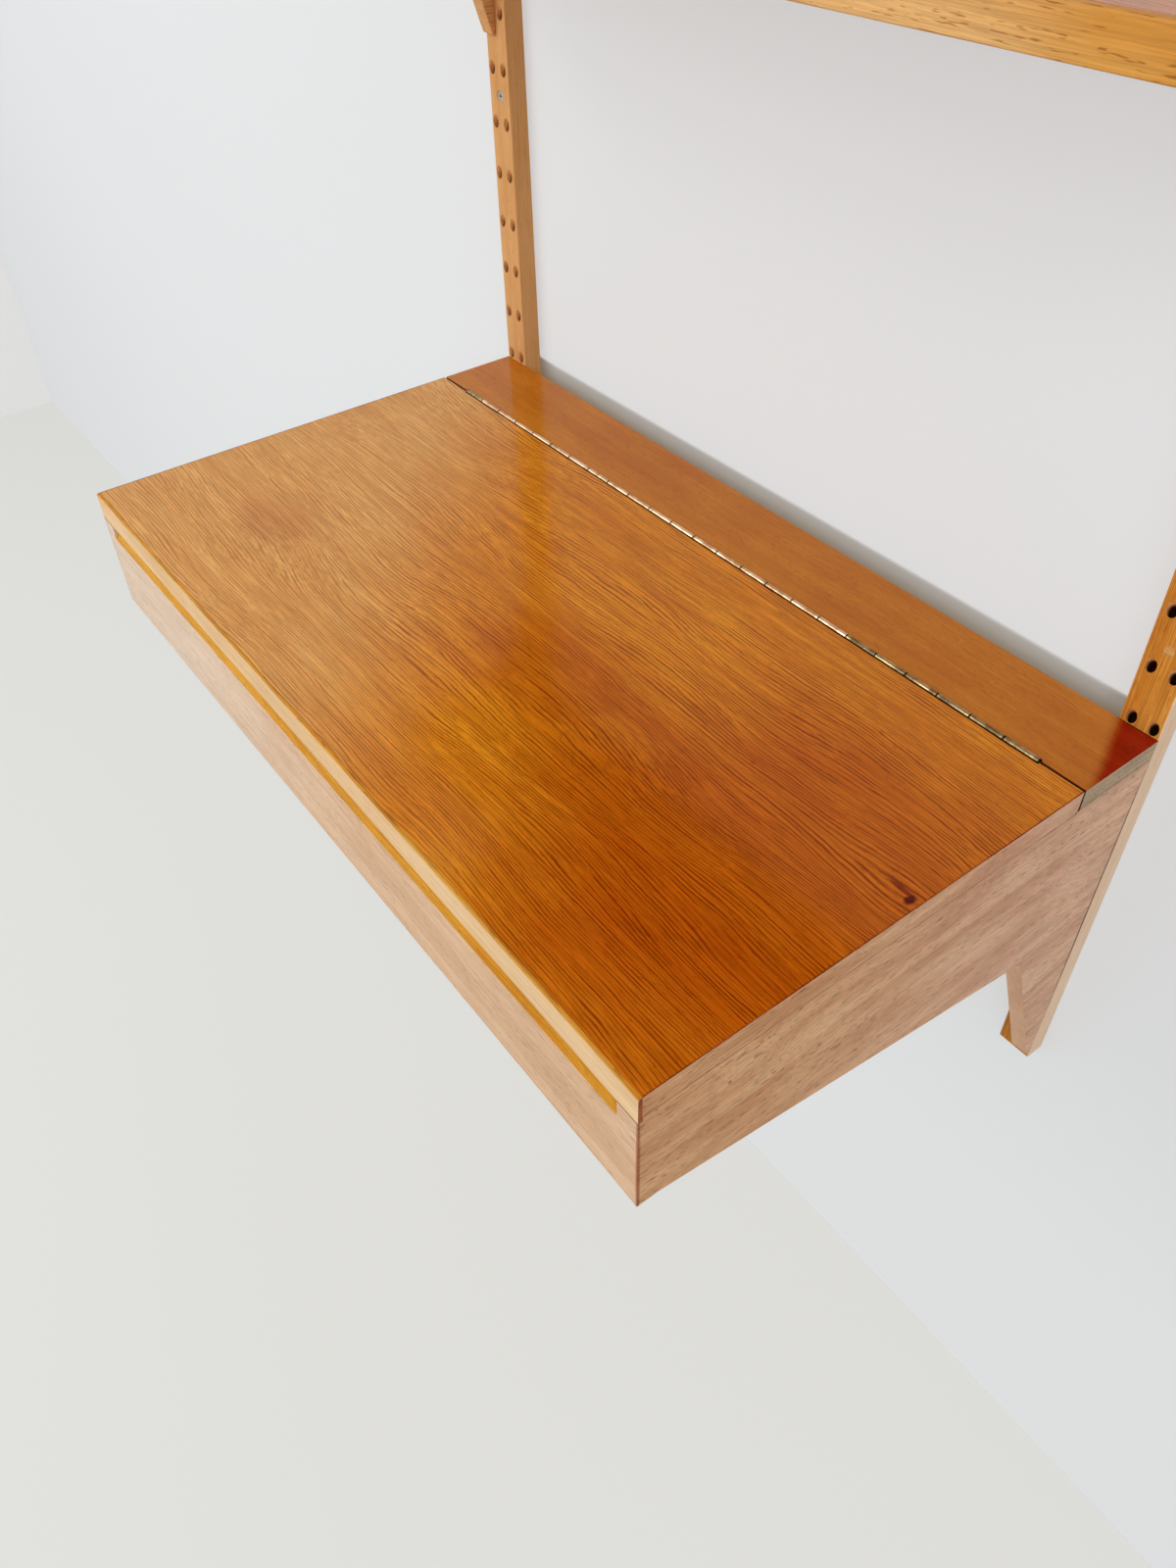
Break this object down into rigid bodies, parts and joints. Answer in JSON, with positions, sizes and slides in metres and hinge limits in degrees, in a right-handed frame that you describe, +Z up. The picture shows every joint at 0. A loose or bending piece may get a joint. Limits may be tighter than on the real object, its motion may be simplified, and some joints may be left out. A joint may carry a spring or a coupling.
{
  "type": "wall-hung shelving unit with desk",
  "caption": "Wall-hung shelving unit: drilled wooden rails carry bracketed shelves and a shallow desk case with a lift-up lid on a long hinge.",
  "frame": {"origin": "on the wall plane behind the rails, midway between the rails and midway up them, which is the middle of the four outer wall screws", "axes": "+X to the right along the wall, +Y into the wall (the desk and shelves stand out towards -Y), +Z up"},
  "size_m": [0.8, 0.5208, 1.239],
  "materials": {
    "top_veneer": "clear gloss lacquer on orange-brown oak veneer",
    "side_veneer": "satin lacquer on pinkish oak veneer",
    "rail_oak": "satin lacquer on yellow-orange solid oak",
    "lipping_oak": "satin lacquer on pale golden solid oak",
    "plug_wood": "pale hardwood end grain",
    "plywood": "plain birch plywood",
    "softwood": "planed softwood",
    "beech": "fluted beech dowel",
    "zinc_steel": "zinc-plated steel",
    "hinge_brass": "brass-plated and tarnished"
  },
  "bodies": {
    "wall_frame": {"left_rail": "rail_oak", "right_rail": "rail_oak", "cover_plug": "plug_wood", "rail_screws": "zinc_steel", "desk_pegs": "zinc_steel", "strip_dowels": "beech", "back_dowels": "beech", "desk_bottom_panel": "plywood", "desk_left_side": "side_veneer", "desk_right_side": "side_veneer", "desk_front_panel": "side_veneer", "desk_back_panel": "side_veneer", "desk_glue_block_left": "softwood", "desk_glue_block_right": "softwood", "hinge_fixed_screws": "zinc_steel", "hinge_fixed_leaf": "hinge_brass", "hinge_pin": "zinc_steel", "desk_top_strip": "top_veneer", "lower_shelf_left_bracket": "side_veneer", "lower_shelf_right_bracket": "side_veneer", "lower_shelf_board": "top_veneer", "lower_shelf_lipping": "lipping_oak", "lower_shelf_pegs": "zinc_steel", "lower_shelf_dowels": "beech", "upper_shelf_left_bracket": "side_veneer", "upper_shelf_right_bracket": "side_veneer", "upper_shelf_board": "top_veneer", "upper_shelf_lipping": "lipping_oak", "upper_shelf_pegs": "zinc_steel", "upper_shelf_dowels": "beech"},
    "lid": {"desk_lid": "top_veneer", "lid_left_lipping": "side_veneer", "lid_right_lipping": "side_veneer", "lid_front_lipping": "lipping_oak", "hinge_moving_leaf": "hinge_brass", "hinge_moving_screws": "zinc_steel"}
  },
  "joints": [
    {"name": "lid_hinge", "type": "hinge", "parent": "wall_frame", "child": "lid", "pos_m": [0, -0.1, -0.2315], "axis": [-1, 0, 0], "range_deg": [0, 97]}
  ]
}
